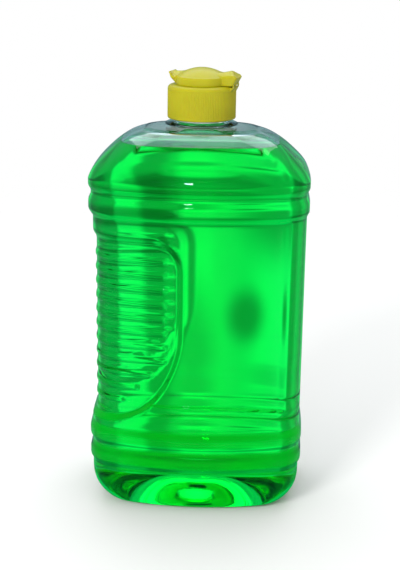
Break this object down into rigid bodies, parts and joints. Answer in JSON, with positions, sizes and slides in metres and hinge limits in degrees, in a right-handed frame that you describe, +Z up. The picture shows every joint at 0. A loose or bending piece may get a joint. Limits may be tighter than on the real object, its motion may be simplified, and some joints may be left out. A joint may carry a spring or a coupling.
{
  "type": "cologne bottle",
  "caption": "Clear flat-sided bottle of green cologne with a ribbed hand grip, hipped shoulder and a yellow screw cap with a domed flip lid.",
  "frame": {"origin": "middle of the base, on the plane the bottle stands on", "axes": "+Z up along the neck, -Y the front, -X the side with the hand grip, +X the side with the plain post"},
  "size_m": [0.1004, 0.074, 0.2042],
  "materials": {
    "clear_pet": "glossy clear PET, blow moulded",
    "green_cologne": "clear green liquid",
    "white_foam": "matt expanded polyethylene",
    "yellow_cap": "satin injection-moulded polypropylene, knurled",
    "yellow_lid": "satin injection-moulded polypropylene"
  },
  "bodies": {
    "bottle": {"bottle": "clear_pet", "cologne": "green_cologne"},
    "washer": {"sealing_washer": "white_foam"},
    "cap": {"screw_cap": "yellow_cap"},
    "lid": {"flip_lid": "yellow_lid"}
  },
  "joints": [
    {"name": "cap_rise", "type": "slide", "parent": "bottle", "child": "washer", "axis": [0, 0, 1], "range_m": [0, 0.00636]},
    {"name": "cap_turn", "type": "hinge", "parent": "washer", "child": "cap", "pos_m": [0, 0, 0.19], "axis": [0, 0, 1], "range_deg": [0, 720]},
    {"name": "lid_hinge", "type": "hinge", "parent": "cap", "child": "lid", "pos_m": [0.01538, -0.00441, 0.1966], "axis": [0.2756, 0.9613, 0], "range_deg": [0, 150]}
  ],
  "couplings": [
    {"joint": "cap_rise", "follows": "cap_turn", "m_per_rad": 0.00050611}
  ]
}
